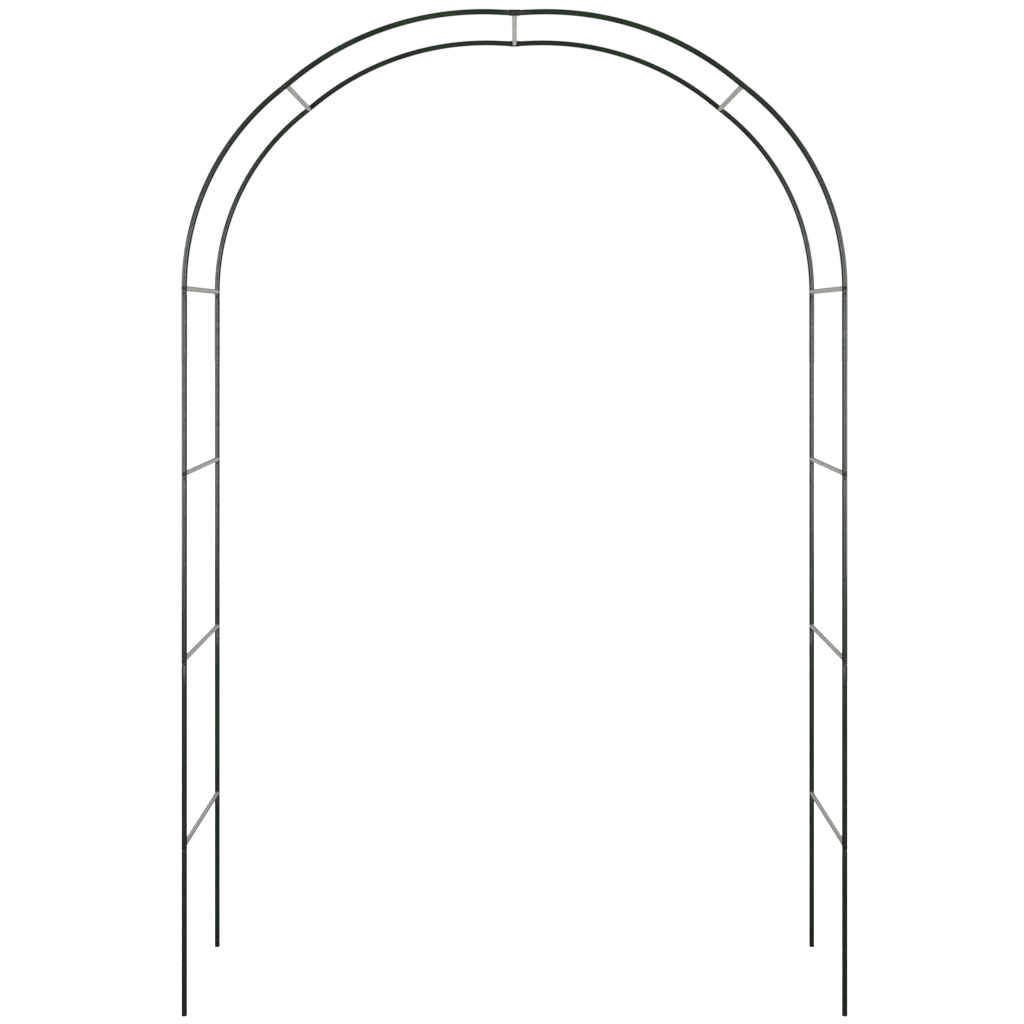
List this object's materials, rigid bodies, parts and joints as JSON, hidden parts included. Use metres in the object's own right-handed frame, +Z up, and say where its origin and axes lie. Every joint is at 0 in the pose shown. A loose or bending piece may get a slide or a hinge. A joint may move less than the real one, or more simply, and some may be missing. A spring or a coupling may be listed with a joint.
{
  "type": "garden trellis arch",
  "caption": "Free-standing garden arch of thin green steel tube hoops joined by short ladder-like cross bars, for climbing plants and a walkway.",
  "frame": {"origin": "on the ground, midway between the four legs", "axes": "+Z up, X across the walkway between the left and right legs, -Y towards the front hoop, so one walks through along Y"},
  "size_m": [1.588, 0.4008, 2.4001],
  "materials": {
    "hoop_paint": "dark green powder coat, satin",
    "bar_zinc": "zinc plated, dull silver",
    "screw_brown": "dark brown, satin",
    "plug_steel": "turned, hidden inside the bars"
  },
  "bodies": {
    "root": {"crown_bar": "bar_zinc", "crown_bar_plugs": "plug_steel", "crown_screws": "screw_brown", "front_crown_joiner": "hoop_paint", "front_left_crown_curve": "hoop_paint", "front_left_ground_tube": "hoop_paint", "front_left_leg_tube_1": "hoop_paint", "front_left_leg_tube_2": "hoop_paint", "front_left_leg_tube_3": "hoop_paint", "front_left_screws": "screw_brown", "front_left_shoulder_curve": "hoop_paint", "front_right_crown_curve": "hoop_paint", "front_right_ground_tube": "hoop_paint", "front_right_leg_tube_1": "hoop_paint", "front_right_leg_tube_2": "hoop_paint", "front_right_leg_tube_3": "hoop_paint", "front_right_screws": "screw_brown", "front_right_shoulder_curve": "hoop_paint", "left_bar_1": "bar_zinc", "left_bar_1_plugs": "plug_steel", "left_bar_2": "bar_zinc", "left_bar_2_plugs": "plug_steel", "left_bar_3": "bar_zinc", "left_bar_3_plugs": "plug_steel", "left_bar_4": "bar_zinc", "left_bar_4_plugs": "plug_steel", "left_shoulder_bar": "bar_zinc", "left_shoulder_bar_plugs": "plug_steel", "rear_crown_joiner": "hoop_paint", "rear_left_crown_curve": "hoop_paint", "rear_left_ground_tube": "hoop_paint", "rear_left_leg_tube_1": "hoop_paint", "rear_left_leg_tube_2": "hoop_paint", "rear_left_leg_tube_3": "hoop_paint", "rear_left_screws": "screw_brown", "rear_left_shoulder_curve": "hoop_paint", "rear_right_crown_curve": "hoop_paint", "rear_right_ground_tube": "hoop_paint", "rear_right_leg_tube_1": "hoop_paint", "rear_right_leg_tube_2": "hoop_paint", "rear_right_leg_tube_3": "hoop_paint", "rear_right_screws": "screw_brown", "rear_right_shoulder_curve": "hoop_paint", "right_bar_1": "bar_zinc", "right_bar_1_plugs": "plug_steel", "right_bar_2": "bar_zinc", "right_bar_2_plugs": "plug_steel", "right_bar_3": "bar_zinc", "right_bar_3_plugs": "plug_steel", "right_bar_4": "bar_zinc", "right_bar_4_plugs": "plug_steel", "right_shoulder_bar": "bar_zinc", "right_shoulder_bar_plugs": "plug_steel"}
  },
  "joints": []
}
